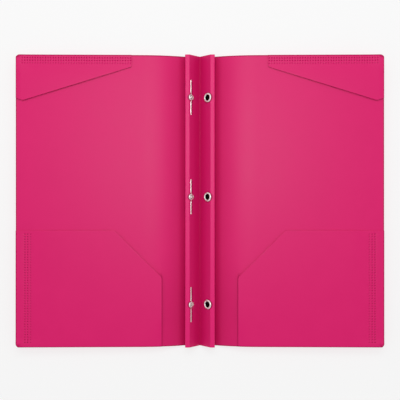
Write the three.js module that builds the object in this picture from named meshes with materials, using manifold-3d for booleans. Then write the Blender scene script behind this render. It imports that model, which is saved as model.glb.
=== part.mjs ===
// Plastic two-pocket folder, lying open on its back, face up. Millimetres.
// X runs across the open folder, Y along its spine towards the top edge, Z up from the table.
// The origin is under the middle of the spine.
//
// The folder is die-cut from polypropylene sheet. Between the covers the sheet is pleated into a gusset:
// two flat-topped ridges with a valley between them. Punched paper stands in the valley. The left wall of
// the valley carries three two-legged prongs, and the right wall three eyelets that the prongs reach
// through. Each cover has a pocket, folded up along the bottom edge and welded near the fore edge, and a
// corner flap, folded in along the fore edge and welded along the top.

import * as THREE from "three";
import { mergeVertices } from "three/addons/utils/BufferGeometryUtils.js";
import Module from "manifold-3d";

const wasm = await Module();
wasm.setup();

// Sheet and overall size
const sheet = 0.6; // thickness of the polypropylene
const folderHeight = 304.8; // from the bottom edge to the top edge
const foreEdge = 191.7; // from the middle of the spine to each cover's fore edge
const coverCorner = 4.2; // radius of the covers' outer corners

// Spine gusset, on the middle line of the sheet
const ridgeRise = 10.2; // from the valley floor to the ridge tops
const valleyFold = 0.45; // from the middle of the spine to each fold of the valley floor
const ridgeInnerFold = 11.1; // from the middle of the spine to each ridge's inner fold
const ridgeOuterFold = 15.2; // from the middle of the spine to each ridge's outer fold
const ridgeUndercut = 0.3; // how far each outer wall leans in under its ridge
const footLength = 0.9; // flat foot of each outer wall, from its fold to the cover's crease
const ridgeBend = 0.9; // bend radius of the ridges' folds
const valleyBend = 0.45; // bend radius of the valley floor's folds
const footBend = 0.5; // bend radius of the feet

// Covers
const creaseGap = 0.3; // between a foot and the cover that hinges on it
const swellEnd = 60; // from the middle of the spine to where a cover becomes flat
const swellRise = 7.1; // height of the cover there, above the table
const swellStart = 6; // how far the curve leans on its first slope, beside the crease
const swellSlope = 0.2; // that slope, as rise over run
const swellReach = 24.5; // how far the curve leans on the flat part of the cover
const foreEdgeRise = 9.3; // height of the fore edge, above the table

// Pockets and corner flaps
const pocketDepth = 121.5; // from the bottom edge to the pocket's mouth
const pocketWidth = 151.4; // from the fore edge to the pocket's inner edge
const pocketCut = 48.8; // sloping cut across the pocket's inner top corner, each way
const pocketCutRadius = 5; // rounding of that cut's two corners
const flapWidth = 120.4; // from the fore edge to the flap's inner end
const flapInnerDrop = 12.4; // height of the flap's inner end
const flapOuterDrop = 47.6; // from the top edge to the flap's lowest point
const flapRelief = 7.6; // from the fore edge to that lowest point
const flapReliefRise = 2.6; // how much the edge climbs from there to the fore edge
const flapInnerRadius = 2.2; // rounding of the flap's inner corner
const flapOuterRadius = 4; // rounding of the flap's lowest corner
const layerGap = 0.8; // space between a cover and its pocket or flap
const weldWidth = 8.2; // width of the welded bands
const pocketWeldInset = 8.3; // from the fore edge to the pocket's weld
const flapWeldInset = 2.2; // from the top edge to the flap's weld
const weldEndInset = 4; // from the ends of a pocket or flap to the ends of its weld

// Prongs and eyelets
const holePitch = 107.95; // standard spacing of three-hole punched paper
const middleRow = 4.3; // how far the middle fastener sits above the middle, as photographed
const eyeletFromFold = 10.85; // from the valley floor's fold to the eyelets, along the wall
const prongFromFold = 12.5; // from the valley floor's fold to the prongs, along the wall
const seatGap = 0.3; // clearance of the metal pieces in and on the sheet
const eyeletBore = 3; // radius
const eyeletRadius = 5.05;
const eyeletHeight = 0.8; // of the front flange
const eyeletWall = 0.35; // metal thickness of the eyelet's barrel
const eyeletBackRadius = 3.7;
const eyeletBackHeight = 0.5;
const collarBore = 1.75; // radius
const collarRadius = 3.3;
const collarHeight = 0.75;
const headRadius = 2.1;
const headHeight = 0.5;
const prongMetal = 0.45; // thickness of the prong's sheet metal
const prongWidth = 2.6;
const prongReach = 18.3; // from the middle of the prong to the tip of each leg
const prongClearance = 0.3; // between the neck and each leg
const prongRise = 1.6; // from the collar's face up to the legs, where they bend away from the neck
const restReach = 4.5; // where a leg has come down to the wall

const arcSteps = 6; // facets in each bend
const swellSteps = 16; // facets along each cover's curve
const roundSteps = 40; // facets round the metal pieces

const plastic = { color: 0xd92c6d, roughness: 0.42, metalness: 0 };
const nickel = { color: 0xd9d2c8, roughness: 0.28, metalness: 1 };

// Solids

function solidOf(geometry) {
  const bare = geometry.clone();
  bare.deleteAttribute("normal");
  bare.deleteAttribute("uv");
  const merged = mergeVertices(bare, 1e-4);
  return new wasm.Manifold(
    new wasm.Mesh({
      numProp: 3,
      vertProperties: merged.attributes.position.array,
      triVerts: new Uint32Array(merged.index.array),
    }),
  );
}

function geometryOf(solid) {
  const { vertProperties, triVerts } = solid.getMesh();
  const geometry = new THREE.BufferGeometry();
  geometry.setAttribute("position", new THREE.BufferAttribute(vertProperties, 3));
  geometry.setIndex(new THREE.BufferAttribute(triVerts, 1));
  const flat = geometry.toNonIndexed();
  flat.computeVertexNormals();
  return flat;
}

function joined(...solids) {
  return solids.reduce((whole, next) => whole.add(next));
}

function named(name, solid, finish) {
  const material = new THREE.MeshStandardMaterial(finish);
  const mesh = new THREE.Mesh(geometryOf(solid), material);
  mesh.name = name;
  return mesh;
}

// Points along a line of corners [x, y, radius], with each rounded corner as an arc.
// Every point carries the unit normal on the left of the direction of travel.
function roundedPath(corners) {
  const points = [];
  const at = corners.map(([x, y]) => new THREE.Vector2(x, y));
  const leftOf = (direction) => new THREE.Vector2(-direction.y, direction.x);
  const push = (p, direction) => points.push({ p, n: leftOf(direction) });
  const directions = at.slice(1).map((p, i) => p.clone().sub(at[i]).normalize());
  push(at[0], directions[0]);
  for (let i = 1; i < at.length - 1; i += 1) {
    const [from, to] = [directions[i - 1], directions[i]];
    const turn = Math.atan2(from.cross(to), from.dot(to));
    const radius = corners[i][2];
    const tangent = radius * Math.tan(Math.abs(turn) / 2);
    const start = at[i].clone().addScaledVector(from, -tangent);
    const centre = start.clone().addScaledVector(leftOf(from), radius * Math.sign(turn));
    for (let k = 0; k <= arcSteps; k += 1) {
      const angle = (turn * k) / arcSteps;
      const origin = new THREE.Vector2();
      const p = start.clone().rotateAround(centre, angle);
      push(p, from.clone().rotateAround(origin, angle));
    }
  }
  push(at[at.length - 1], directions[directions.length - 1]);
  return points;
}

// Closed shape of the corners [x, y, radius]; a radius of 0 is a sharp corner.
function roundedShape(corners) {
  const last = corners[corners.length - 1];
  const middle = [(last[0] + corners[0][0]) / 2, (last[1] + corners[0][1]) / 2, 0];
  const line = roundedPath([middle, ...corners, middle]);
  return new THREE.Shape(line.slice(0, -1).map(({ p }) => p));
}

// Closed shape between two offsets from a line of points.
function bandShape(line, low, high) {
  const offset = (distance) => line.map(({ p, n }) => p.clone().addScaledVector(n, distance));
  return new THREE.Shape([...offset(low), ...offset(high).reverse()]);
}

// A shape drawn across the folder (X, Z), extruded along Y.
function alongSpine(shape, yLow, yHigh) {
  const geometry = new THREE.ExtrudeGeometry(shape, { depth: yHigh - yLow, bevelEnabled: false });
  geometry.rotateX(Math.PI / 2);
  geometry.translate(0, yHigh, 0);
  return solidOf(geometry);
}

// A shape drawn in plan (X, Y), extruded up through everything.
const tall = ridgeRise + foreEdgeRise + 10 * sheet + 2 * layerGap;
function inPlan(shape) {
  const geometry = new THREE.ExtrudeGeometry(shape, { depth: 2 * tall, bevelEnabled: false });
  geometry.translate(0, 0, -tall);
  return solidOf(geometry);
}

// A closed section of points [y, height above the cover's back] swept across the folder along a line.
function sweptAcross(section, line) {
  const outline = section.map(([y, h]) => new THREE.Vector2(y, h));
  const count = outline.length;
  const positions = line.flatMap(({ p, n }) =>
    outline.flatMap(({ x: y, y: h }) => [p.x + n.x * h, y, p.y + n.y * h]),
  );
  const indices = [];
  for (let i = 0; i < line.length - 1; i += 1) {
    for (let k = 0; k < count; k += 1) {
      const [a, b] = [i * count + k, i * count + ((k + 1) % count)];
      indices.push(a, b, b + count, a, b + count, a + count);
    }
  }
  const end = (line.length - 1) * count;
  for (const [a, b, c] of THREE.ShapeUtils.triangulateShape(outline, [])) {
    indices.push(a, c, b, end + a, end + b, end + c);
  }
  const geometry = new THREE.BufferGeometry();
  geometry.setAttribute("position", new THREE.Float32BufferAttribute(positions, 3));
  geometry.setIndex(indices);
  return solidOf(geometry);
}

function revolved(profile) {
  const points = profile.map(([r, h]) => new THREE.Vector2(r, h));
  const geometry = new THREE.LatheGeometry([...points, points[0]], roundSteps);
  geometry.rotateX(Math.PI / 2);
  return solidOf(geometry);
}

// Spine gusset

const middle = sheet / 2; // height of the sheet's middle line where it lies on the table
const ridgeTop = middle + ridgeRise;
const footFold = ridgeOuterFold - ridgeUndercut;
const crease = footFold + footLength;
const wallSlope = Math.atan2(ridgeRise, ridgeInnerFold - valleyFold);

function gussetLine() {
  const half = [
    [valleyFold, middle, valleyBend],
    [ridgeInnerFold, ridgeTop, ridgeBend],
    [ridgeOuterFold, ridgeTop, ridgeBend],
    [footFold, middle, footBend],
    [crease, middle, 0],
  ];
  const mirrored = half.map(([x, z, r]) => [-x, z, r]).reverse();
  return roundedPath([...mirrored, ...half]);
}

// A frame on the valley wall at a hole: local Z points into the valley, its zero on the wall's face.
function seatOnWall(side, fromFold, y) {
  const seat = new THREE.Group();
  const x = valleyFold + fromFold * Math.cos(wallSlope) - middle * Math.sin(wallSlope);
  const z = middle + fromFold * Math.sin(wallSlope) + middle * Math.cos(wallSlope);
  seat.position.set(side * x, y, z);
  seat.rotation.y = -side * wallSlope;
  seat.updateMatrix();
  return seat;
}

function holeThrough(seat, radius) {
  const geometry = new THREE.CylinderGeometry(radius, radius, 4 * sheet, roundSteps);
  geometry.rotateX(Math.PI / 2);
  geometry.translate(0, 0, -sheet / 2);
  geometry.applyMatrix4(seat.matrix);
  return solidOf(geometry);
}

const eyeletHole = eyeletBore + eyeletWall + seatGap;
const prongHole = collarBore;

function gusset(holes) {
  const halfHeight = folderHeight / 2;
  const pleats = alongSpine(bandShape(gussetLine(), -middle, middle), -halfHeight, halfHeight);
  return holes.reduce((whole, hole) => whole.subtract(hole), pleats);
}

// Covers. Drawn on the right of the spine; the left one is its mirror image.

const hingeEdge = crease + creaseGap;
const foldRadius = sheet + layerGap / 2; // outside radius of a sheet folded back over itself
const stackHeight = 2 * foldRadius; // from a cover's back to the face of its pocket
const topEdge = folderHeight / 2;
const bottomEdge = -folderHeight / 2;

// The back of the cover from its crease to a distance from the middle of the spine.
function coverLine(reach) {
  const slope = (foreEdgeRise - swellRise) / (foreEdge - swellEnd);
  const swell = new THREE.CubicBezierCurve(
    new THREE.Vector2(hingeEdge, 0),
    new THREE.Vector2(hingeEdge + swellStart, swellStart * swellSlope),
    new THREE.Vector2(swellEnd - swellReach, swellRise - swellReach * slope),
    new THREE.Vector2(swellEnd, swellRise),
  );
  const normal = (tangent) => new THREE.Vector2(-tangent.y, tangent.x).normalize();
  const line = [];
  for (let i = 0; i <= swellSteps; i += 1) {
    const t = i / swellSteps;
    line.push({ p: swell.getPoint(t), n: normal(swell.getTangent(t)) });
  }
  const end = new THREE.Vector2(reach, swellRise + (reach - swellEnd) * slope);
  line.push({ p: end, n: normal(new THREE.Vector2(1, slope)) });
  return line;
}

// The part of a line that lies beyond a distance from the middle of the spine.
function beyond(line, x) {
  const first = line.findIndex(({ p }) => p.x > x);
  const [a, b] = [line[first - 1], line[first]];
  const t = (x - a.p.x) / (b.p.x - a.p.x);
  const cut = { p: a.p.clone().lerp(b.p, t), n: a.n.clone().lerp(b.n, t).normalize() };
  return [cut, ...line.slice(first)];
}

const pocketInner = foreEdge - pocketWidth;
const pocketMouth = bottomEdge + pocketDepth;
const flapInner = foreEdge - flapWidth;
const flapFoldEnd = topEdge - flapOuterDrop + flapReliefRise;

const coverOutline = roundedShape([
  [0, bottomEdge, 0],
  [foreEdge, bottomEdge, coverCorner],
  [foreEdge, topEdge, coverCorner],
  [0, topEdge, 0],
]);

// The panel stops short where the sheet goes on into the fold of the pocket or of the flap.
const panelOutline = roundedShape([
  [0, bottomEdge, 0],
  [pocketInner, bottomEdge, 0],
  [pocketInner, bottomEdge + foldRadius, 0],
  [foreEdge, bottomEdge + foldRadius, 0],
  [foreEdge, flapFoldEnd, 0],
  [foreEdge - foldRadius, flapFoldEnd, 0],
  [foreEdge - foldRadius, topEdge, 0],
  [0, topEdge, 0],
]);

const pocketOutline = roundedShape([
  [pocketInner, bottomEdge, 0],
  [foreEdge, bottomEdge, 0],
  [foreEdge, pocketMouth, 0],
  [pocketInner + pocketCut, pocketMouth, pocketCutRadius],
  [pocketInner, pocketMouth - pocketCut, pocketCutRadius],
]);

const flapOutline = roundedShape([
  [flapInner, topEdge - flapInnerDrop, flapInnerRadius],
  [foreEdge - flapRelief, topEdge - flapOuterDrop, flapOuterRadius],
  [foreEdge, flapFoldEnd, 0],
  [foreEdge, topEdge, 0],
  [flapInner, topEdge, 0],
]);

// Half circle of the bottom fold, from the pocket's side to the panel's.
function foldArc(radius) {
  const points = [];
  for (let k = 0; k <= 2 * arcSteps; k += 1) {
    const angle = Math.PI / 2 + (Math.PI * k) / (2 * arcSteps);
    const y = bottomEdge + foldRadius + radius * Math.cos(angle);
    points.push([y, foldRadius + radius * Math.sin(angle)]);
  }
  return points;
}

function panel() {
  const section = [
    [bottomEdge, 0],
    [topEdge, 0],
    [topEdge, sheet],
    [bottomEdge, sheet],
  ];
  return sweptAcross(section, coverLine(foreEdge)).intersect(inPlan(panelOutline));
}

function pocket() {
  const section = [
    [pocketMouth, stackHeight],
    ...foldArc(foldRadius),
    ...foldArc(foldRadius - sheet).reverse(),
    [pocketMouth, stackHeight - sheet],
  ];
  const line = beyond(coverLine(foreEdge), pocketInner - sheet);
  return sweptAcross(section, line).intersect(inPlan(pocketOutline));
}

function flap() {
  const line = beyond(coverLine(foreEdge - foldRadius), flapInner - sheet);
  const top = line.map(({ p, n }) => ({ p: p.clone().addScaledVector(n, foldRadius), n }));
  const { p: centre, n } = top[top.length - 1];
  const around = [];
  for (let k = 1; k <= 2 * arcSteps; k += 1) {
    const turned = n.clone().rotateAround(new THREE.Vector2(), (-Math.PI * k) / (2 * arcSteps));
    around.push({ p: centre, n: turned });
  }
  const shape = bandShape([...top, ...around], foldRadius - sheet, foldRadius);
  return alongSpine(shape, topEdge - flapOuterDrop, topEdge).intersect(inPlan(flapOutline));
}

// A welded band fills the space between two layers, and bites a little into both.
function weld(xLow, xHigh, yLow, yHigh) {
  const bite = sheet / 4;
  const section = [
    [yLow, sheet - bite],
    [yHigh, sheet - bite],
    [yHigh, sheet + layerGap + bite],
    [yLow, sheet + layerGap + bite],
  ];
  return sweptAcross(section, beyond(coverLine(xHigh), xLow));
}

function pocketWeld() {
  const outer = foreEdge - pocketWeldInset;
  return weld(outer - weldWidth, outer, bottomEdge + weldEndInset, pocketMouth - weldEndInset);
}

function flapWeld() {
  const upper = topEdge - flapWeldInset;
  return weld(flapInner + weldEndInset, foreEdge - weldEndInset, upper - weldWidth, upper);
}

function cover() {
  const folded = joined(panel(), pocket(), flap(), pocketWeld(), flapWeld());
  return folded.intersect(inPlan(coverOutline));
}

// Metal pieces, on the frame of their seat: height 0 is the wall's face.

const wallBack = -sheet; // the far face of the wall

// Domed flange in front, barrel through the wall, and the rim rolled over behind it.
function eyelet() {
  const front = seatGap + eyeletHeight;
  const back = wallBack - seatGap;
  const barrel = eyeletBore + eyeletWall;
  const crown = (eyeletBore + eyeletRadius) / 2;
  return revolved([
    [eyeletBore, back - eyeletBackHeight],
    [eyeletBackRadius - 0.3 * eyeletBackHeight, back - eyeletBackHeight],
    [eyeletBackRadius, back - 0.6 * eyeletBackHeight],
    [eyeletBackRadius, back],
    [barrel, back],
    [barrel, seatGap],
    [eyeletRadius, seatGap],
    [eyeletRadius, seatGap + 0.35 * eyeletHeight],
    [eyeletRadius - 0.35 * eyeletHeight, front - 0.25 * eyeletHeight],
    [crown + 0.3 * eyeletHeight, front],
    [crown - 0.4 * eyeletHeight, front],
    [eyeletBore + 0.1 * eyeletHeight, front - 0.35 * eyeletHeight],
    [eyeletBore, front - 0.7 * eyeletHeight],
  ]);
}

// Dished washer that the prong comes out through.
function collar() {
  const front = seatGap + collarHeight;
  return revolved([
    [collarBore, seatGap],
    [collarRadius, seatGap],
    [collarRadius, seatGap + 0.3 * collarHeight],
    [collarRadius - 0.4 * collarHeight, seatGap + 0.65 * collarHeight],
    [(collarBore + collarRadius) / 2, front],
    [collarBore, front],
  ]);
}

const neckHalf = prongMetal; // the neck is the prong's two layers of metal
const legRoot = neckHalf + prongClearance;
const legHeight = seatGap + collarHeight + prongRise + prongMetal / 2;
const restHeight = seatGap + prongMetal / 2;

// Round head behind the wall, with the neck that comes up through the wall and the collar.
function prongHead() {
  const top = wallBack - seatGap;
  const disc = revolved([
    [0, top - headHeight],
    [headRadius - 0.3 * headHeight, top - headHeight],
    [headRadius, top - 0.6 * headHeight],
    [headRadius, top],
    [0, top],
  ]);
  const neck = roundedShape([
    [-neckHalf, top - headHeight / 2, 0],
    [neckHalf, top - headHeight / 2, 0],
    [neckHalf, legHeight + prongMetal / 2, 0.8 * neckHalf],
    [-neckHalf, legHeight + prongMetal / 2, 0.8 * neckHalf],
  ]);
  return disc.add(acrossSeat(neck, prongWidth));
}

// A shape drawn on the seat's (Y, Z), extruded equally to both sides along its X.
function acrossSeat(shape, width) {
  const geometry = new THREE.ExtrudeGeometry(shape, { depth: width, bevelEnabled: false });
  geometry.translate(0, 0, -width / 2);
  geometry.rotateY(Math.PI / 2);
  geometry.rotateX(Math.PI / 2);
  return solidOf(geometry);
}

// Flat leg: from the top of the neck down over the collar to the wall, and along it to a round tip.
// It points along +Y.
function prongLeg() {
  const line = roundedPath([
    [legRoot, legHeight, 0],
    [restReach, restHeight, 2 * prongMetal],
    [prongReach, restHeight, 0],
  ]);
  const strip = acrossSeat(bandShape(line, -prongMetal / 2, prongMetal / 2), prongWidth);
  const plan = roundedShape([
    [-prongWidth / 2, 0, 0],
    [prongWidth / 2, 0, 0],
    [prongWidth / 2, prongReach, 0.499 * prongWidth],
    [-prongWidth / 2, prongReach, 0.499 * prongWidth],
  ]);
  return strip.intersect(inPlan(plan));
}

// The folder

const folder = new THREE.Group();
const rows = [
  ["top", holePitch],
  ["middle", middleRow],
  ["bottom", -holePitch],
];
const holes = [];

for (const [row, y] of rows) {
  const prongSeat = seatOnWall(-1, prongFromFold, y);
  const upperLeg = named(`${row}_prong_upper_leg`, prongLeg(), nickel);
  const lowerLeg = named(`${row}_prong_lower_leg`, prongLeg(), nickel);
  lowerLeg.rotation.z = Math.PI;
  prongSeat.add(named(`${row}_prong_head`, prongHead(), nickel));
  prongSeat.add(named(`${row}_prong_collar`, collar(), nickel));
  prongSeat.add(upperLeg, lowerLeg);

  const eyeletSeat = seatOnWall(1, eyeletFromFold, y);
  eyeletSeat.add(named(`${row}_eyelet`, eyelet(), nickel));

  folder.add(prongSeat, eyeletSeat);
  holes.push(holeThrough(prongSeat, prongHole), holeThrough(eyeletSeat, eyeletHole));
}

folder.add(named("spine_gusset", gusset(holes), plastic));

const rightCover = named("right_cover", cover(), plastic);
const leftCover = named("left_cover", cover(), plastic);
leftCover.scale.x = -1;
folder.add(leftCover, rightCover);

export default folder;
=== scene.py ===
import math

import bmesh
import bpy
from mathutils import Matrix, Vector


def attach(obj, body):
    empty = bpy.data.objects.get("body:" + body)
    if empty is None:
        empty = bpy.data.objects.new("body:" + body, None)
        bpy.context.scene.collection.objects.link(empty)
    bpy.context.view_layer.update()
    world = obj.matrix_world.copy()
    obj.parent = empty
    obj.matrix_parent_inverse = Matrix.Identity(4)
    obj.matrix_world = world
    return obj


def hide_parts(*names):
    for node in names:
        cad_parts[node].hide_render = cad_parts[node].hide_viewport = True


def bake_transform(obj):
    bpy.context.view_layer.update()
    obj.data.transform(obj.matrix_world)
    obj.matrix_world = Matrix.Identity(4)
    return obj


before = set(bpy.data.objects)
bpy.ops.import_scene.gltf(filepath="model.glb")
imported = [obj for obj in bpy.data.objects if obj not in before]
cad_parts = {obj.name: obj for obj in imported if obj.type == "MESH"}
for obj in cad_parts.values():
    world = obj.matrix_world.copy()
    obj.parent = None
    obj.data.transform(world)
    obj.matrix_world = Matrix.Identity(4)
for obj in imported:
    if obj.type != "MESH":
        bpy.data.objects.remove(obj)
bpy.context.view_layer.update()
mm = 0.001

# Sizes in millimetres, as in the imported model
sheet = 0.6
topEdge = 152.4
bottomEdge = -152.4
foreEdge = 191.7
cornerRadius = 4.2
middle = sheet / 2  # height of the middle of a sheet that lies on the table

# Folds of the spine, measured from its middle: a valley, a ridge on each side and a short foot
spine = {
    "rise": 10.2,
    "valleyFold": 0.45,
    "innerFold": 11.1,
    "outerFold": 15.2,
    "undercut": 0.3,
    "foot": 0.9,
    "ridgeBend": 0.9,
    "valleyBend": 0.45,
    "footBend": 0.5,
}
crease = spine["outerFold"] - spine["undercut"] + spine["foot"]
wallSlope = math.atan2(spine["rise"], spine["innerFold"] - spine["valleyFold"])

rows = {"top": 107.95, "middle": 4.3, "bottom": -107.95}  # where the prongs and eyelets are along the spine


# Shader helpers

def newMaterial(name):
    material = bpy.data.materials.new(name)
    material.use_nodes = True
    tree = material.node_tree
    tree.nodes.clear()
    output = tree.nodes.new("ShaderNodeOutputMaterial")
    shader = tree.nodes.new("ShaderNodeBsdfPrincipled")
    tree.links.new(shader.outputs["BSDF"], output.inputs["Surface"])
    return material, tree, shader


def node(tree, kind, inputs=None, **settings):
    made = tree.nodes.new(kind)
    for key, value in settings.items():
        setattr(made, key, value)
    for key, value in (inputs or {}).items():
        if isinstance(value, bpy.types.NodeSocket):
            tree.links.new(value, made.inputs[key])
        else:
            made.inputs[key].default_value = value
    return made


def maths(tree, operation, *values):
    return node(tree, "ShaderNodeMath", dict(enumerate(values)), operation=operation).outputs[0]


def remap(tree, value, low, high, toLow, toHigh):
    inputs = {"Value": value, 1: low, 2: high, 3: toLow, 4: toHigh}
    return node(tree, "ShaderNodeMapRange", inputs).outputs[0]


def mixColour(tree, factor, a, b):
    made = node(tree, "ShaderNodeMix", data_type="RGBA")
    for index, value in ((0, factor), (6, a), (7, b)):
        if isinstance(value, bpy.types.NodeSocket):
            tree.links.new(value, made.inputs[index])
        else:
            made.inputs[index].default_value = value
    return made.outputs[2]


def noise(tree, place, scale, detail):
    return node(tree, "ShaderNodeTexNoise", {"Vector": place, "Scale": scale, "Detail": detail}).outputs[0]


def stretched(tree, place, scale, turn=0.0):
    inputs = {"Vector": place, "Scale": scale, "Rotation": (0, 0, turn)}
    return node(tree, "ShaderNodeMapping", inputs).outputs[0]


def coordinates(tree, kind):
    place = node(tree, "ShaderNodeTexCoord").outputs[kind]
    return node(tree, "ShaderNodeSeparateXYZ", {0: place}).outputs


# Streaks along the extrusion, soft mottling and a fine matt grain, shared by every plastic surface.
def sheetGrainGroup():
    group = bpy.data.node_groups.new("sheetGrain", "ShaderNodeTree")
    group.interface.new_socket("Height", in_out="OUTPUT", socket_type="NodeSocketFloat")
    group.interface.new_socket("Mottle", in_out="OUTPUT", socket_type="NodeSocketFloat")
    group.interface.new_socket("Scuff", in_out="OUTPUT", socket_type="NodeSocketFloat")
    place = node(group, "ShaderNodeTexCoord").outputs["Object"]
    streak = noise(group, stretched(group, place, (1.0, 0.06, 1.0)), 420.0, 3.0)
    grain = noise(group, place, 2600.0, 2.0)
    mottle = noise(group, place, 60.0, 4.0)
    slow = noise(group, place, 9.0, 2.0)
    scratch = noise(group, stretched(group, place, (1.0, 0.25, 1.0), 0.5), 700.0, 5.0)
    height = maths(group, "ADD", maths(group, "MULTIPLY", streak, 0.5), maths(group, "MULTIPLY", grain, 0.5))
    output = node(group, "NodeGroupOutput")
    group.links.new(height, output.inputs["Height"])
    blended = maths(group, "ADD", maths(group, "MULTIPLY", mottle, 0.6), maths(group, "MULTIPLY", slow, 0.4))
    group.links.new(blended, output.inputs["Mottle"])
    group.links.new(remap(group, scratch, 0.62, 0.75, 0.0, 1.0), output.inputs["Scuff"])
    return group


sheetGrain = sheetGrainGroup()


# The tint of weld spots, also used for the painted shadows round the metal on the spine
pressedAndShadowTint = (0.4, 0.2, 0.3)  # colour of a weld spot, as a share of the plain one
# The tint of painted shade, as a share of the plain colour
shadedTint = (0.6, 0.3, 0.45)  # colour where little light gets in
rimShare = 0.6
shadedShine = 0.04


# Three attributes of the mesh set the colour: one holds weld spots on the covers and painted shadows round
# the metal and beside the legs on the spine, "rim" runs along the trimmed edge, and "shade" holds painted
# shade in the folds beside and inside the spine, which the outer side leaves out.
def plasticMaterial(name, dark, light, roughness, shine, shaded=1.0):
    material, tree, shader = newMaterial(name)
    grain = node(tree, "ShaderNodeGroup", node_tree=sheetGrain)
    mottle = remap(tree, grain.outputs["Mottle"], 0.3, 0.7, 0.0, 1.0)
    plain = mixColour(tree, mottle, (*dark, 1), (*light, 1))
    spot, rim, shade = (node(tree, "ShaderNodeAttribute", attribute_name=word).outputs["Fac"]
                        for word in ("spot", "rim", "shade"))
    shade = maths(tree, "MULTIPLY", shade, shaded)
    # Weld spots and the rim, and on the spine the painted shadows round the metal and beside the legs
    pressed = maths(tree, "MAXIMUM", spot, maths(tree, "MULTIPLY", rim, rimShare))
    deep = tuple(share * part for share, part in zip(pressedAndShadowTint, dark))
    unlit = tuple(share * part for share, part in zip(shadedTint, dark))
    # Painted shade: the colour goes toward the darker tint where the shade attribute is set
    paintedShadeColour = mixColour(tree, shade, plain, (*unlit, 1))
    colour = mixColour(tree, pressed, paintedShadeColour, (*deep, 1))
    tree.links.new(colour, shader.inputs["Base Color"])
    worn = remap(tree, grain.outputs["Mottle"], 0.3, 0.7, roughness - 0.02, roughness + 0.02)
    scuffed = maths(tree, "ADD", worn, maths(tree, "MULTIPLY", grain.outputs["Scuff"], 0.08))
    tree.links.new(scuffed, shader.inputs["Roughness"])
    relief = {"Height": grain.outputs["Height"], "Strength": 0.25, "Distance": 0.00004}
    tree.links.new(node(tree, "ShaderNodeBump", relief).outputs[0], shader.inputs["Normal"])
    # The specular drops where shade and shadows are painted, at weld spots and on the rim
    shadeAndPressing = maths(tree, "MAXIMUM", shade, pressed)
    tree.links.new(remap(tree, shadeAndPressing, 0.0, 1.0, shine, shadedShine), shader.inputs["Specular IOR Level"])
    return material


# The panel's inner side, the outer side of panel and spine with the pocket and the flap, the spine's inner
# side as a lighter and glossier copy that paints light onto its lands, and the cut edge
pinkPanel = plasticMaterial("pinkPanel", (0.715, 0.0085, 0.146), (0.735, 0.0095, 0.152), 0.38, 0.235)
pinkSheet = plasticMaterial("pinkSheet", (0.715, 0.0085, 0.146), (0.735, 0.0095, 0.152), 0.38, 0.235, 0.0)
pinkSpineLit = plasticMaterial("pinkSpineLit", (0.765, 0.01, 0.16), (0.785, 0.011, 0.166), 0.38, 0.25)
pinkCut = plasticMaterial("pinkCut", (0.46, 0.002, 0.07), (0.50, 0.003, 0.08), 0.5, 0.06)


def metalMaterial(name, colour, roughness):
    material, tree, shader = newMaterial(name)
    place = node(tree, "ShaderNodeTexCoord").outputs["Object"]
    cloud = noise(tree, place, 900.0, 4.0)
    lines = noise(tree, stretched(tree, place, (1.0, 0.08, 1.0)), 6000.0, 3.0)
    clouded = tuple(0.97 * part for part in colour)
    tint = mixColour(tree, remap(tree, cloud, 0.35, 0.65, 0.0, 1.0), (*clouded, 1), (*colour, 1))
    tree.links.new(tint, shader.inputs["Base Color"])
    worn = remap(tree, cloud, 0.3, 0.7, roughness - 0.03, roughness + 0.04)
    tree.links.new(worn, shader.inputs["Roughness"])
    relief = {"Height": lines, "Strength": 0.05, "Distance": 0.000005}
    tree.links.new(node(tree, "ShaderNodeBump", relief).outputs[0], shader.inputs["Normal"])
    shader.inputs["Metallic"].default_value = 1.0
    return material


nickel = metalMaterial("nickel", (0.97, 0.93, 0.91), 0.32)
# Near-black metal, painted shade inside the eyelets' holes
boreShadeMetal = metalMaterial("boreShadeMetal", (0.012, 0.01, 0.008), 0.6)


# Mesh helpers

def makeObject(name, mesh, materials):
    made = bpy.data.objects.new(name, mesh)
    bpy.context.scene.collection.objects.link(made)
    for material in materials:
        made.data.materials.append(material)
    return made


def applied(piece, name):
    graph = bpy.context.evaluated_depsgraph_get()
    mesh = bpy.data.meshes.new_from_object(piece.evaluated_get(graph))
    done = makeObject(name, mesh, [])
    bpy.data.objects.remove(piece)
    return done


def smoothByAngle(piece, angle):
    for face in piece.data.polygons:
        face.use_smooth = True
    piece.data.set_sharp_from_angle(angle=angle)


def smoothStep(value, low, high):
    t = min(1.0, max(0.0, (value - low) / (high - low)))
    return t * t * (3 - 2 * t)


def spaced(low, high, step):
    count = max(1, math.ceil((high - low) / step - 1e-9))
    return [low + (high - low) * i / count for i in range(count + 1)]


# Grid lines from low to high through all the values between them, without lines that nearly meet.
def gridLines(low, high, *groups):
    near = 0.02
    kept = [low]
    for value in sorted(value for group in groups for value in group):
        if kept[-1] + near < value < high - near:
            kept.append(value)
    return kept + [high]


# A grid of quads, each vertex placed by a function of its two line values.
def addGrid(bm, us, vs, place, keep=None):
    made = [[bm.verts.new(place(u, v)) for v in vs] for u in us]
    for i in range(len(us) - 1):
        for j in range(len(vs) - 1):
            if keep and not keep((us[i] + us[i + 1]) / 2, (vs[j] + vs[j + 1]) / 2):
                continue
            bm.faces.new((made[i][j], made[i + 1][j], made[i + 1][j + 1], made[i][j + 1]))


# Corners of a convex outline, with each rounded corner as a run of short edges.
def roundedOutline(corners, steps=8):
    outline = []
    count = len(corners)
    for i, (x, y, radius) in enumerate(corners):
        at = Vector((x, y))
        before = Vector(corners[i - 1][:2])
        after = Vector(corners[(i + 1) % count][:2])
        if radius == 0:
            outline.append(at)
            continue
        arriving = (at - before).normalized()
        leaving = (after - at).normalized()
        turn = math.atan2(arriving.x * leaving.y - arriving.y * leaving.x, arriving.dot(leaving))
        tangent = radius * math.tan(abs(turn) / 2)
        start = at - arriving * tangent
        side = 1 if turn > 0 else -1
        centre = start + Vector((-arriving.y, arriving.x)) * radius * side
        for k in range(steps + 1):
            spin = Matrix.Rotation(turn * k / steps, 2)
            outline.append(centre + spin @ (start - centre))
    return outline


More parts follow.
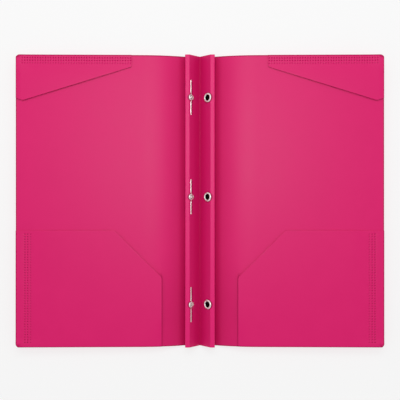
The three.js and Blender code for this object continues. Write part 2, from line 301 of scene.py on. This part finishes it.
# Keeps what lies inside a convex outline that runs anticlockwise. A margin adds a cut that far inside
# each side, so that the rounding of the edge ends there and large faces stay flat.
def clipConvex(bm, outline, margin=0.0):
    count = len(outline)
    for i in range(count):
        a = outline[i]
        b = outline[(i + 1) % count]
        along = b - a
        if along.length < 1e-6:
            continue
        outward = Vector((along.y, -along.x, 0)).normalized()
        start = Vector((a.x, a.y, 0))
        for inset in ((0.0, margin) if margin else (0.0,)):
            bmesh.ops.bisect_plane(
                bm, geom=bm.verts[:] + bm.edges[:] + bm.faces[:], dist=1e-5,
                plane_co=start - inset * outward, plane_no=outward, clear_outer=inset == 0)


# The covers: panel, pocket and corner flap are one sheet, modelled by its middle and then given its thickness

cover = {
    "hinge": crease + 0.3,
    "swellEnd": 60.0,
    "swellRise": 7.1,
    "swellStart": 6.0,
    "swellSlope": 0.2,
    "swellReach": 24.5,
    "rise": 9.3,
    "fold": 1.0,
    "bevel": 0.27,
    "blend": 18.0,
}
pocket = {
    "inner": foreEdge - 151.4,
    "mouth": bottomEdge + 121.5,
    "cut": 48.8,
    "radius": 5.0,
    "bridge": 0.85,  # share of the dip beside the spine that the pocket spans
}
flap = {
    "inner": foreEdge - 120.4,
    "innerDrop": 12.4,
    "innerRadius": 2.2,
    "outerDrop": 47.6,
    "outerRadius": 4.0,
    "relief": 7.6,
    "reliefRise": 2.6,
    "lift": 0.3,
}
weld = {
    "pitch": 2.68,
    "count": 43,
    "pocketInsets": (9.6, 12.5, 15.5),  # its rows, in from the fore edge
    "pocketStart": 5.3,
    "flapDrops": (3.2, 5.9, 8.7),  # its rows, down from the top edge
    "flapStart": 6.7,
    "radius": 1.02,
    "depth": 0.5,
    "sink": 0.5,
    "lastRow": 0.6,
}
# How much painted shade the panel takes at its crease, what of it goes nearby and farther on,
# and how much painted shade goes toward the bottom and into the painted shadow line along the pocket's inner
# edge
panelPaintedShade = {"crease": 0.56, "nearLoss": 0.42, "farLoss": 0.14, "bottom": 0.14, "pocketEdgeShadow": 0.75}
rimWidth = 0.8
rimLines = (0.75, 1.35)

outerSlope = (cover["rise"] - cover["swellRise"]) / (foreEdge - cover["swellEnd"])


# The cover's lower face from its crease to its fore edge, as points and the directions straight up from them
def coverCurve():
    foot = Vector((cover["hinge"], 0))
    end = Vector((cover["swellEnd"], cover["swellRise"]))
    leaving = foot + cover["swellStart"] * Vector((1, cover["swellSlope"]))
    arriving = end - cover["swellReach"] * Vector((1, outerSlope))
    points = [(Vector((crease, 0)), Vector((0, 1)))]
    for i in range(257):
        t = i / 256
        s = 1 - t
        p = foot * s ** 3 + leaving * 3 * s * s * t + arriving * 3 * s * t * t + end * t ** 3
        d = (leaving - foot) * s * s + (arriving - leaving) * 2 * s * t + (end - arriving) * t * t
        points.append((p, Vector((-d.y, d.x)).normalized()))
    last = Vector((foreEdge + 1, cover["swellRise"] + (foreEdge + 1 - cover["swellEnd"]) * outerSlope))
    points.append((last, Vector((-outerSlope, 1)).normalized()))
    return points


curve = coverCurve()


def onCurve(x):
    low = 0
    high = len(curve) - 1
    while high - low > 1:
        half = (low + high) // 2
        if curve[half][0].x <= x:
            low = half
        else:
            high = half
    a, b = curve[low], curve[high]
    t = (x - a[0].x) / (b[0].x - a[0].x)
    return a[0].lerp(b[0], t), a[1].lerp(b[1], t).normalized()


foldMiddle = cover["fold"] - middle  # radius of a fold at the middle of the sheet
upperLayer = 2 * cover["fold"] - middle
foldY = bottomEdge + cover["fold"] + 0.005  # the facets of the fold reach that much past its radius
foldX = foreEdge - cover["fold"]
flapFoldEnd = topEdge - flap["outerDrop"] + flap["reliefRise"]
foldSteps = [math.pi * k / 10 for k in range(11)]

pocketWeldX = sorted(foreEdge - inset for inset in weld["pocketInsets"])
pocketWeldY = [bottomEdge + weld["pocketStart"] + weld["pitch"] * k for k in range(weld["count"])]
flapWeldX = sorted(foreEdge - weld["flapStart"] - weld["pitch"] * k for k in range(weld["count"]))
flapWeldY = sorted(topEdge - drop for drop in weld["flapDrops"])


# How strongly the nearest weld spot of a grid presses at a point, from 0 to 1.
def dimple(x, y, xs, ys):
    reach = weld["radius"]
    if not (xs[0] - reach < x < xs[-1] + reach and ys[0] - reach < y < ys[-1] + reach):
        return 0.0
    nearX = min(xs, key=lambda value: abs(value - x))
    nearY = min(ys, key=lambda value: abs(value - y))
    distance = math.hypot(x - nearX, y - nearY)
    if distance >= reach:
        return 0.0
    return 0.5 * (1 + math.cos(math.pi * distance / reach))


# The row of spots farthest from the edge is pressed less.
def pocketSpot(x, y):
    share = weld["lastRow"] if x < (pocketWeldX[0] + pocketWeldX[1]) / 2 else 1
    return share * dimple(x, y, pocketWeldX, pocketWeldY)


def flapSpot(x, y):
    share = weld["lastRow"] if y < (flapWeldY[0] + flapWeldY[1]) / 2 else 1
    return share * dimple(x, y, flapWeldX, flapWeldY)


# The pocket bridges part of the dip beside the spine, and is drawn down where it is welded.
def pocketHeight(x, y):
    near = smoothStep(x, pocketWeldX[0] - 16, pocketWeldX[0]) * smoothStep(y, foldY, foldY + 9)
    free = smoothStep(y, foldY, foldY + 30)
    dip = cover["swellRise"] + (x - cover["swellEnd"]) * outerSlope - onCurve(x)[0].y
    bridge = pocket["bridge"] * free * max(0.0, dip)
    return upperLayer + bridge - weld["sink"] * near - near * weld["depth"] * pocketSpot(x, y)


# The flap is drawn down along its weld too, and its free edge stands off the panel a little.
def flapHeight(x, y):
    near = smoothStep(y, flapWeldY[0] - 14, flapWeldY[0]) * smoothStep(foldX - x, 0, 16)
    lift = flap["lift"] * smoothStep(flapWeldY[0] - y, 4, 26)
    return upperLayer + lift - weld["sink"] * near - weld["depth"] * flapSpot(x, y)


# Distance from a point of a cover in to its outline, round corners included.
def outlineInset(x, y):
    fromSide = foreEdge - x
    fromEnd = topEdge - abs(y)
    if fromSide < cornerRadius and fromEnd < cornerRadius:
        return cornerRadius - math.hypot(cornerRadius - fromSide, cornerRadius - fromEnd)
    return min(fromSide, fromEnd)


# Grid lines that a weld spot needs on either side of its centre.
def spotLines(centres):
    step = weld["pitch"] / 8
    return [centre + step * k for centre in centres for k in range(-3, 4)]


# Turns a sheet's faces so that the face nearest the spine's middle looks up, into the folder.
def faceInward(bm):
    bmesh.ops.recalc_face_normals(bm, faces=bm.faces[:])
    nearest = min(bm.faces, key=lambda face: abs(face.calc_center_median().x))
    if nearest.normal.z < 0:
        bmesh.ops.reverse_faces(bm, faces=bm.faces[:])


# Adds one bmesh to another and frees it.
def joinLayer(bm, layer):
    mesh = bpy.data.meshes.new("layer")
    layer.to_mesh(mesh)
    layer.free()
    bm.from_mesh(mesh)
    bpy.data.meshes.remove(mesh)


# Writes the attributes of a cover that is still flat: weld spots, the rim, painted shade and a painted shadow
# line.
def paintCoverSpotsAndShade(bm):
    spots, rims, shades = (bm.verts.layers.float.new(word) for word in ("spot", "rim", "shade"))
    for vertex in bm.verts:
        x, y, h = vertex.co
        if h > middle + 0.2:
            pressing = pocketSpot(x, y) if y < pocket["mouth"] + 1 else flapSpot(x, y)
            vertex[spots] = min(1.0, 1.3 * pressing)
        vertex[rims] = 1.0 if outlineInset(x, y) < rimWidth else 0.0
        # Painted shade near the crease, where the ridge shades the panel
        shadeLevel = panelPaintedShade["crease"] - panelPaintedShade["nearLoss"] * smoothStep(x - crease, 1, 8.5)
        shadeLevel -= panelPaintedShade["farLoss"] * smoothStep(x - crease, 6, 28)
        # Painted shade, darker toward the bottom beside the spine
        if x < pocket["inner"]:
            shadeLevel += panelPaintedShade["bottom"] * smoothStep(pocket["mouth"] - y, 10, 90)
        # A painted shadow line on the panel along the pocket's inner edge
        if y < pocket["mouth"] - pocket["cut"]:
            line = 1 - smoothStep(pocket["inner"] - x, 0.2, 1.4)
            shadeLevel = max(shadeLevel, panelPaintedShade["pocketEdgeShadow"] * line)
        vertex[shades] = shadeLevel


def coverMesh(side):
    inner = pocket["inner"]
    swell = spaced(crease, 64, 1.1) + spaced(64, foreEdge, 6)
    sideRim = [foreEdge - inset for inset in rimLines]
    endRims = [topEdge - inset for inset in rimLines] + [bottomEdge + inset for inset in rimLines]
    edgeLines = [inner, inner - 0.25, inner - 1.3, foldX]
    acrossPanel = gridLines(crease, foreEdge, edgeLines, sideRim, swell, spotLines(pocketWeldX))
    upPanel = gridLines(bottomEdge, topEdge, [flapFoldEnd, foldY], endRims, spaced(bottomEdge, topEdge, 6),
                        spotLines(flapWeldY))

    def panelKeep(x, y):
        if x > inner and y < foldY:
            return False
        return not (x > foldX and y > flapFoldEnd)

    bm = bmesh.new()
    addGrid(bm, acrossPanel, upPanel, lambda x, y: (x, y, middle), panelKeep)

    # Pocket and its fold
    layer = bmesh.new()
    across = [x for x in acrossPanel if x >= inner - 0.01]
    upPocket = gridLines(foldY, pocket["mouth"], spaced(foldY, pocket["mouth"], 4), spotLines(pocketWeldY))
    addGrid(layer, across, upPocket, lambda x, y: (x, y, pocketHeight(x, y)))
    clipConvex(layer, roundedOutline([
        (inner, bottomEdge - 9, 0),
        (foreEdge + 9, bottomEdge - 9, 0),
        (foreEdge + 9, pocket["mouth"], 0),
        (inner + pocket["cut"], pocket["mouth"], pocket["radius"]),
        (inner, pocket["mouth"] - pocket["cut"], pocket["radius"]),
    ]), margin=0.9)

    def bottomFold(x, angle):
        return (x, foldY - foldMiddle * math.sin(angle), cover["fold"] - foldMiddle * math.cos(angle))

    addGrid(layer, across, foldSteps, bottomFold)
    joinLayer(bm, layer)

    # Corner flap and its fold
    layer = bmesh.new()
    alongFlap = gridLines(flap["inner"], foldX, spaced(flap["inner"], foldX, 5), spotLines(flapWeldX))
    upper = [y for y in upPanel if y >= topEdge - flap["outerDrop"] - 7]
    addGrid(layer, alongFlap, upper, lambda x, y: (x, y, flapHeight(x, y)))
    clipConvex(layer, roundedOutline([
        (flap["inner"], topEdge + 9, 0),
        (flap["inner"], topEdge - flap["innerDrop"], flap["innerRadius"]),
        (foreEdge - flap["relief"], topEdge - flap["outerDrop"], flap["outerRadius"]),
        (foreEdge + flap["relief"], topEdge - flap["outerDrop"] + 2 * flap["reliefRise"], 0),
        (foreEdge + flap["relief"], topEdge + 9, 0),
    ]), margin=0.9)
    folded = [y for y in upper if y >= flapFoldEnd - 1e-4]

    def sideFold(angle, y):
        return (foldX + foldMiddle * math.sin(angle), y, cover["fold"] - foldMiddle * math.cos(angle))

    addGrid(layer, foldSteps, folded, sideFold)
    joinLayer(bm, layer)

    clipConvex(bm, roundedOutline([
        (crease, bottomEdge, 0),
        (foreEdge, bottomEdge, cornerRadius),
        (foreEdge, topEdge, cornerRadius),
        (crease, topEdge, 0),
    ]))
    bmesh.ops.remove_doubles(bm, verts=bm.verts[:], dist=0.004)
    paintCoverSpotsAndShade(bm)

    # From flat onto the cover's curve
    for vertex in bm.verts:
        x, y, h = vertex.co
        p, n = onCurve(x)
        vertex.co = (side * (p.x + n.x * h) * mm, y * mm, (p.y + n.y * h) * mm)
    faceInward(bm)
    mesh = bpy.data.meshes.new("coverLayers")
    bm.to_mesh(mesh)
    bm.free()
    return mesh


# Gives a sheet its thickness: its cut edge takes its second material, and its outer side the third.
def addThickness(piece):
    solid = piece.modifiers.new("thickness", "SOLIDIFY")
    solid.thickness = sheet * mm
    solid.offset = 0
    solid.use_even_offset = True
    solid.material_offset = 2
    solid.material_offset_rim = 1


for side, word in ((-1, "left"), (1, "right")):
    layers = makeObject(f"{word}Layers", coverMesh(side), [pinkPanel, pinkCut, pinkSheet])
    addThickness(layers)
    edge = layers.modifiers.new("edge", "BEVEL")
    edge.width = cover["bevel"] * mm
    edge.segments = 2
    edge.material = 1
    edge.limit_method = "ANGLE"
    edge.angle_limit = math.radians(60)
    piece = applied(layers, f"{word}CoverSheet")
    smoothByAngle(piece, math.radians(40))
    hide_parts(f"{word}_cover")
    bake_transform(piece)
    print("cover", word, len(piece.data.polygons))


# The pleated spine

# How much painted shade the spine takes: its walls are lighter toward the ridges; it also paints shadows
# round the metal and beside the legs
spinePaintedShade = {
    "valley": 0.64,
    "leftGain": 0.19,
    "rightGain": 0.27,
    "fold": 0.12,
    "foot": 0.62,
    "ringShadow": 0.8,
    "legs": 0.75,
}
legReach = 18.0


# The middle of the sheet across the spine, with every bend as a run of short edges
def spineLine():
    half = [
        (spine["valleyFold"], middle, spine["valleyBend"]),
        (spine["innerFold"], middle + spine["rise"], spine["ridgeBend"]),
        (spine["outerFold"], middle + spine["rise"], spine["ridgeBend"]),
        (spine["outerFold"] - spine["undercut"], middle, spine["footBend"]),
        (crease, middle, 0),
    ]
    corners = [(-x, z, r) for x, z, r in reversed(half)] + half
    points = [Vector(corners[0][:2])]
    for i in range(1, len(corners) - 1):
        at = Vector(corners[i][:2])
        arriving = (at - Vector(corners[i - 1][:2])).normalized()
        leaving = (Vector(corners[i + 1][:2]) - at).normalized()
        turn = math.atan2(arriving.x * leaving.y - arriving.y * leaving.x, arriving.dot(leaving))
        radius = corners[i][2]
        tangent = radius * math.tan(abs(turn) / 2)
        start = at - arriving * tangent
        end = at + leaving * tangent
        centre = start + Vector((-arriving.y, arriving.x)) * radius * (1 if turn > 0 else -1)
        points.append(start - arriving * 0.05)
        for k in range(11):
            points.append(centre + Matrix.Rotation(turn * k / 10, 2) @ (start - centre))
        points.append(end + leaving * 0.05)
    points.append(Vector(corners[-1][:2]))
    return points


# The frame of a fastener on a wall's inner face: z points away from the wall, and x across it.
def seatMatrix(side, fromFold, y):
    x = spine["valleyFold"] + fromFold * math.cos(wallSlope) - middle * math.sin(wallSlope)
    z = middle + fromFold * math.sin(wallSlope) + middle * math.cos(wallSlope)
    place = Matrix.Translation((side * x, y, z))
    return place @ Matrix.Rotation(-side * wallSlope, 4, "Y")


eyeletSize = {"bore": 3.0, "radius": 5.05, "height": 0.8, "wall": 0.35, "back": 3.7, "backHeight": 0.5,
              "gap": 0.3}
collarSize = {"bore": 1.75, "radius": 3.3, "height": 0.75, "gap": 0.3}
holeRadius = {"prong": 1.75, "eyelet": 3.65}
prongFromFold = 12.5
eyeletFromFold = 10.85
seats = {}
for row, y in rows.items():
    seats[row] = {"prong": seatMatrix(-1, prongFromFold, y), "eyelet": seatMatrix(1, eyeletFromFold, y)}


# Where the legs lie over the wall, a painted shadow darkens it along their side toward the valley.
def legShadow(at):
    if abs(at.y) > legReach or not 0.3 < at.x < 2.6:
        return 0.0
    across = smoothStep(at.x, 0.3, 0.8) * (1 - smoothStep(at.x, 1.5, 2.6))
    return spinePaintedShade["legs"] * across * (1 - smoothStep(abs(at.y), legReach - 1.5, legReach))


# Writes the spine's painted shade and the painted shadows round the metal and beside the legs.
def paintSpineShadeAndShadows(bm):
    spots, shades = (bm.verts.layers.float.new(word) for word in ("spot", "shade"))
    for vertex in bm.verts:
        at = vertex.co / mm
        x = abs(at.x)
        wall = 1 - smoothStep(x, spine["innerFold"] - 0.6, spine["innerFold"] + 0.1)
        # Painted shade on the walls, lighter toward the ridges and more so on the right
        inside = spinePaintedShade["valley"] - spinePaintedShade["leftGain"] * smoothStep(-at.x, 4, 9)
        inside -= spinePaintedShade["rightGain"] * smoothStep(at.x, 0, 9)
        # Painted shade low on the ridges' outer sides and on the foot
        foot = spinePaintedShade["foot"] * (1 - smoothStep(at.z, 7, 10))
        # Painted shade along the bottom of the valley
        fold = spinePaintedShade["fold"] * (1 - smoothStep(x, 0.35, 1.3))
        vertex[shades] = wall * inside + (1 - wall) * foot + fold
        # Painted shadows round each eyelet and collar and beside the legs
        kind, radius = ("eyelet", eyeletSize["radius"]) if at.x > 0 else ("prong", collarSize["radius"])
        away = min((seats[row][kind].inverted() @ at).length for row in rows)
        ringShadow = spinePaintedShade["ringShadow"] * (1 - smoothStep(away, radius, radius + 1.1))
        vertex[spots] = max(ringShadow, max(legShadow(seats[row]["prong"].inverted() @ at) for row in rows))


def holeCutters():
    cutters = bmesh.new()
    for row in rows:
        for kind, radius in holeRadius.items():
            place = Matrix.Scale(mm, 4) @ seats[row][kind] @ Matrix.Translation((0, 0, -sheet / 2))
            bmesh.ops.create_cone(cutters, cap_ends=True, segments=48, radius1=radius, radius2=radius,
                                  depth=4 * sheet, matrix=place)
    mesh = bpy.data.meshes.new("holeCutters")
    cutters.to_mesh(mesh)
    cutters.free()
    return makeObject("holeCutters", mesh, [])


def spineSheet():
    bm = bmesh.new()
    folds = spineLine()
    line = []
    for a, b in zip(folds, folds[1:]):
        pieces = max(1, math.ceil((b - a).length / 0.6))
        line += [a.lerp(b, k / pieces) for k in range(pieces)]
    line.append(folds[-1])
    nearRows = [y + 0.6 * k for y in rows.values() for k in range(-32, 33)]
    ys = gridLines(bottomEdge, topEdge, spaced(bottomEdge, topEdge, 12), nearRows)
    addGrid(bm, list(range(len(line))), ys, lambda i, y: (line[i].x * mm, y * mm, line[i].y * mm))
    paintSpineShadeAndShadows(bm)
    faceInward(bm)
    mesh = bpy.data.meshes.new("spineLayers")
    bm.to_mesh(mesh)
    bm.free()
    layers = makeObject("spineLayers", mesh, [pinkSpineLit, pinkCut, pinkSheet])
    cutter = holeCutters()
    addThickness(layers)
    holes = layers.modifiers.new("holes", "BOOLEAN")
    holes.operation = "DIFFERENCE"
    holes.solver = "EXACT"
    holes.object = cutter
    done = applied(layers, "spineSheet")
    bpy.data.objects.remove(cutter)
    smoothByAngle(done, math.radians(35))
    return done


spinePiece = spineSheet()
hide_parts("spine_gusset")
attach(spinePiece, "spine")
print("spine", len(spinePiece.data.polygons))


# Metal pieces, made on the frame of their seat in millimetres: height 0 is the wall's face

# Faces nearer to the piece's axis than the bore get near-black metal, painted shade inside the hole.
def placed(bm, name, seat, bore=0.0):
    for face in bm.faces:
        if face.calc_center_median().xy.length < bore:
            face.material_index = 1
    bm.transform(Matrix.Scale(mm, 4) @ seat)
    bmesh.ops.recalc_face_normals(bm, faces=bm.faces[:])
    mesh = bpy.data.meshes.new(name)
    bm.to_mesh(mesh)
    bm.free()
    piece = makeObject(name, mesh, [nickel, boreShadeMetal])
    smoothByAngle(piece, math.radians(40))
    return piece


# A profile of (radius, height) points turned round its axis.
def turned(profile, steps=72):
    bm = bmesh.new()
    rings = []
    for k in range(steps):
        angle = 2 * math.pi * k / steps
        rings.append([bm.verts.new((r * math.cos(angle), r * math.sin(angle), h)) for r, h in profile])
    count = len(profile)
    for k in range(steps):
        a, b = rings[k], rings[(k + 1) % steps]
        for i in range(count):
            j = (i + 1) % count
            bm.faces.new((a[i], b[i], b[j], a[j]))
    return bm


def arcPoints(centreR, centreH, radiusR, radiusH, fromDegrees, toDegrees, steps=8):
    points = []
    for k in range(steps + 1):
        angle = math.radians(fromDegrees + (toDegrees - fromDegrees) * k / steps)
        points.append((centreR + radiusR * math.cos(angle), centreH + radiusH * math.sin(angle)))
    return points


def eyeletProfile():
    size = eyeletSize
    gap, bore = size["gap"], size["bore"]
    front = gap + size["height"]
    back = -sheet - gap
    crown = (bore + size["radius"]) / 2
    half = (size["radius"] - bore) / 2
    outer = arcPoints(crown, gap + 0.1, half, front - gap - 0.1, 0, 180, 14)
    rim = arcPoints(size["back"] - 0.25, back - 0.25, 0.25, 0.25, 90, -90, 6)
    barrel = bore + size["wall"]
    return [(barrel, gap), (size["radius"], gap), *outer, (bore, back - size["backHeight"]), *reversed(rim),
            (barrel, back)]


def collarProfile():
    size = collarSize
    gap = size["gap"]
    front = gap + size["height"]
    shoulder = arcPoints(size["radius"] - 0.9, gap + 0.1, 0.9, front - gap - 0.1, 0, 90, 8)
    return [(size["bore"], gap), (size["radius"], gap), *shoulder, (size["bore"] + 0.12, front),
            (size["bore"], front - 0.12)]


prongSize = {"metal": 0.45, "width": 2.6, "leg": 1.25, "legShift": 0.55, "reach": 18.3, "clearance": 0.3,
             "rise": 1.6, "rest": 4.5, "headRadius": 2.1, "headHeight": 0.5}
legRoot = prongSize["metal"] + prongSize["clearance"]
legHeight = collarSize["gap"] + collarSize["height"] + prongSize["rise"] + prongSize["metal"] / 2
restHeight = collarSize["gap"] + prongSize["metal"] / 2


# A strip of metal that leans from the neck down to the wall and lies along it, with a round tip.
def legMesh():
    half = prongSize["metal"] / 2
    reach = prongSize["reach"]
    width = prongSize["leg"]
    stations = spaced(legRoot, reach - width / 2, 0.4)
    stations += [reach - width / 2 + width / 2 * math.sin(math.pi / 2 * k / 8) for k in range(1, 8)]
    stations.append(reach - 0.004)
    bm = bmesh.new()
    loops = []
    for y in stations:
        slide = min(1.0, (y - legRoot) / (prongSize["rest"] - legRoot))
        h = legHeight + (restHeight - legHeight) * slide
        fromTip = y - (reach - width / 2)
        halfWidth = width / 2
        if fromTip > 0:
            halfWidth = math.sqrt(max(0.0004, (width / 2) ** 2 - fromTip ** 2))
        soft = min(0.12, halfWidth * 0.3)
        section = [
            (-halfWidth, -half + soft), (-halfWidth + soft, -half), (halfWidth - soft, -half),
            (halfWidth, -half + soft), (halfWidth, half - soft), (halfWidth - soft, half),
            (-halfWidth + soft, half), (-halfWidth, half - soft),
        ]
        loops.append([bm.verts.new((x, y, h + z)) for x, z in section])
    count = len(loops[0])
    for a, b in zip(loops, loops[1:]):
        for i in range(count):
            j = (i + 1) % count
            bm.faces.new((a[i], a[j], b[j], b[i]))
    bm.faces.new(list(reversed(loops[0])))
    bm.faces.new(loops[-1])
    return bm


# The head behind the wall, and the neck that comes through it and folds over into the legs.
def headMesh():
    back = -sheet - collarSize["gap"]
    radius = prongSize["headRadius"]
    height = prongSize["headHeight"]
    edge = arcPoints(radius - 0.2, back - height + 0.2, 0.2, 0.2, -90, 0, 5)
    bm = turned([(0.01, back - height), *edge, (radius, back), (0.01, back)])
    neck = prongSize["metal"]
    top = legHeight + prongSize["metal"] / 2
    outline = [(-neck, back - height / 2), (neck, back - height / 2)]
    outline += arcPoints(0, top - neck * 0.8, neck, neck * 0.8, 0, 180, 10)
    width = prongSize["width"] / 2
    near = [bm.verts.new((-width, y, h)) for y, h in outline]
    far = [bm.verts.new((width, y, h)) for y, h in outline]
    count = len(outline)
    for i in range(count):
        j = (i + 1) % count
        bm.faces.new((near[i], near[j], far[j], far[i]))
    bm.faces.new(list(reversed(near)))
    bm.faces.new(far)
    return bm


for row in rows:
    eyelet = placed(turned(eyeletProfile()), f"{row}EyeletRing", seats[row]["eyelet"], eyeletSize["bore"])
    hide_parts(f"{row}_eyelet")
    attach(eyelet, "spine")

    seat = seats[row]["prong"]
    collar = placed(turned(collarProfile()), f"{row}ProngCollar", seat)
    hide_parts(f"{row}_prong_collar")
    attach(collar, "spine")
    head = placed(headMesh(), f"{row}ProngHead", seat)
    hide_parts(f"{row}_prong_head")
    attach(head, "spine")
    for word, turn in (("upper", 0), ("lower", math.pi)):
        legSeat = seat @ Matrix.Translation((-prongSize["legShift"], 0, 0)) @ Matrix.Rotation(turn, 4, "Z")
        leg = placed(legMesh(), f"{row}{word.capitalize()}Leg", legSeat)
        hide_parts(f"{row}_prong_{word}_leg")
        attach(leg, f"{row}_{word}_leg")
print("metal pieces made")


# Camera, floor and light

# The camera's height in mm, and the rest in pixels
view = {"height": 656.0, "width": 400, "focus": 620.6, "right": 0.05, "up": 1.0}
studio = {
    "floor": 0.3,
    "floorGlow": 0.66,
    # nearly black floor under the spine: painted shade seen through the holes
    "shadeUnderSpine": (0.01, 0.006, 0.006, 1),
    "horizon": 0.5,
    "zenith": 1.2,
    "sides": 0.86,
    "beyond": 0.25,
    "lengthways": 0.5,
    "base": 0.12,
}
topLight = {"place": (-0.02, 0.22, 1.4), "size": (0.5, 0.6), "power": 5.6}
farLight = {"place": (0, 0.75, 0.95), "size": (0.9, 0.4), "power": 3.2}
lampTarget = Vector((0, 0.1, 0))

cameraData = bpy.data.cameras.new("camera")
cameraData.sensor_width = 36
cameraData.lens = view["focus"] / view["width"] * cameraData.sensor_width
cameraData.shift_x = view["right"] / view["width"]
cameraData.shift_y = view["up"] / view["width"]
camera = bpy.data.objects.new("camera", cameraData)
camera.location = (0, 0, view["height"] * mm)
bpy.context.scene.collection.objects.link(camera)
bpy.context.scene.camera = camera

floorCorners = [(x, y, -0.0002) for x, y in ((-3, -3), (3, -3), (3, 3), (-3, 3))]
floorMesh = bpy.data.meshes.new("floor")
floorMesh.from_pydata(floorCorners, [], [(0, 1, 2, 3)])
floorMaterial, floorTree, floorShader = newMaterial("paleFloor")
# The floor glows a little to look white, but not under the spine, where the holes look down on it and it is
# nearly black, painted shade
floorPlace = coordinates(floorTree, "Object")
floorX = remap(floorTree, maths(floorTree, "ABSOLUTE", floorPlace[0]), 0.012, 0.0155, 0.0, 1.0)
floorY = remap(floorTree, maths(floorTree, "ABSOLUTE", floorPlace[1]), 0.14, 0.15, 0.0, 1.0)
floorOpen = maths(floorTree, "MAXIMUM", floorX, floorY)
floorGrey = (studio["floor"], studio["floor"], studio["floor"], 1)
floorColour = mixColour(floorTree, floorOpen, studio["shadeUnderSpine"], floorGrey)
floorGlow = maths(floorTree, "MULTIPLY", floorOpen, studio["floorGlow"])
floorTree.links.new(floorColour, floorShader.inputs["Base Color"])
floorTree.links.new(floorGlow, floorShader.inputs["Emission Strength"])
floorShader.inputs["Emission Color"].default_value = (1, 1, 1, 1)
floorShader.inputs["Roughness"].default_value = 0.9
floorShader.inputs["Specular IOR Level"].default_value = 0.0
floor = makeObject("floor", floorMesh, [floorMaterial])

# The sky is brighter toward the folder's two sides and overhead, and plain white where the camera sees it
world = bpy.data.worlds.new("studio")
world.use_nodes = True
worldTree = world.node_tree
worldTree.nodes.clear()
rays = worldTree.nodes.new("ShaderNodeLightPath")
seen = maths(worldTree, "MAXIMUM", rays.outputs["Is Camera Ray"], rays.outputs["Is Transmission Ray"])
ambient = worldTree.nodes.new("ShaderNodeBackground")
ambient.inputs["Color"].default_value = (1, 1, 1, 1)
toward = coordinates(worldTree, "Generated")
height = remap(worldTree, toward[2], 0.0, 1.0, studio["horizon"], studio["zenith"])
sides = maths(worldTree, "MULTIPLY", maths(worldTree, "ABSOLUTE", toward[0]), studio["sides"])
beyond = maths(worldTree, "MULTIPLY", maths(worldTree, "MAXIMUM", toward[1], 0.0), studio["beyond"])
inMetal = maths(worldTree, "MULTIPLY", rays.outputs["Is Glossy Ray"], studio["lengthways"])
lengthways = maths(worldTree, "MULTIPLY", maths(worldTree, "ABSOLUTE", toward[1]), inMetal)
level = maths(worldTree, "ADD", sides, maths(worldTree, "ADD", beyond, lengthways))
sky = maths(worldTree, "MULTIPLY", height, level)
worldTree.links.new(maths(worldTree, "ADD", sky, studio["base"]), ambient.inputs["Strength"])
backdrop = worldTree.nodes.new("ShaderNodeBackground")
backdrop.inputs["Color"].default_value = (1, 1, 1, 1)
backdrop.inputs["Strength"].default_value = 1.0
chosen = worldTree.nodes.new("ShaderNodeMixShader")
worldTree.links.new(seen, chosen.inputs[0])
worldTree.links.new(ambient.outputs[0], chosen.inputs[1])
worldTree.links.new(backdrop.outputs[0], chosen.inputs[2])
worldOutput = worldTree.nodes.new("ShaderNodeOutputWorld")
worldTree.links.new(chosen.outputs[0], worldOutput.inputs["Surface"])
bpy.context.scene.world = world


def softLight(name, values, mirrored=True):
    data = bpy.data.lights.new(name, "AREA")
    data.shape = "RECTANGLE"
    data.size, data.size_y = values["size"]
    data.energy = values["power"]
    lamp = bpy.data.objects.new(name, data)
    lamp.location = values["place"]
    lamp.rotation_euler = (lampTarget - Vector(values["place"])).to_track_quat("-Z", "Y").to_euler()
    lamp.visible_glossy = mirrored
    bpy.context.scene.collection.objects.link(lamp)


softLight("topLight", topLight)
softLight("farLight", farLight, mirrored=False)
bpy.context.scene.view_settings.view_transform = "Standard"
print("camera and light set")
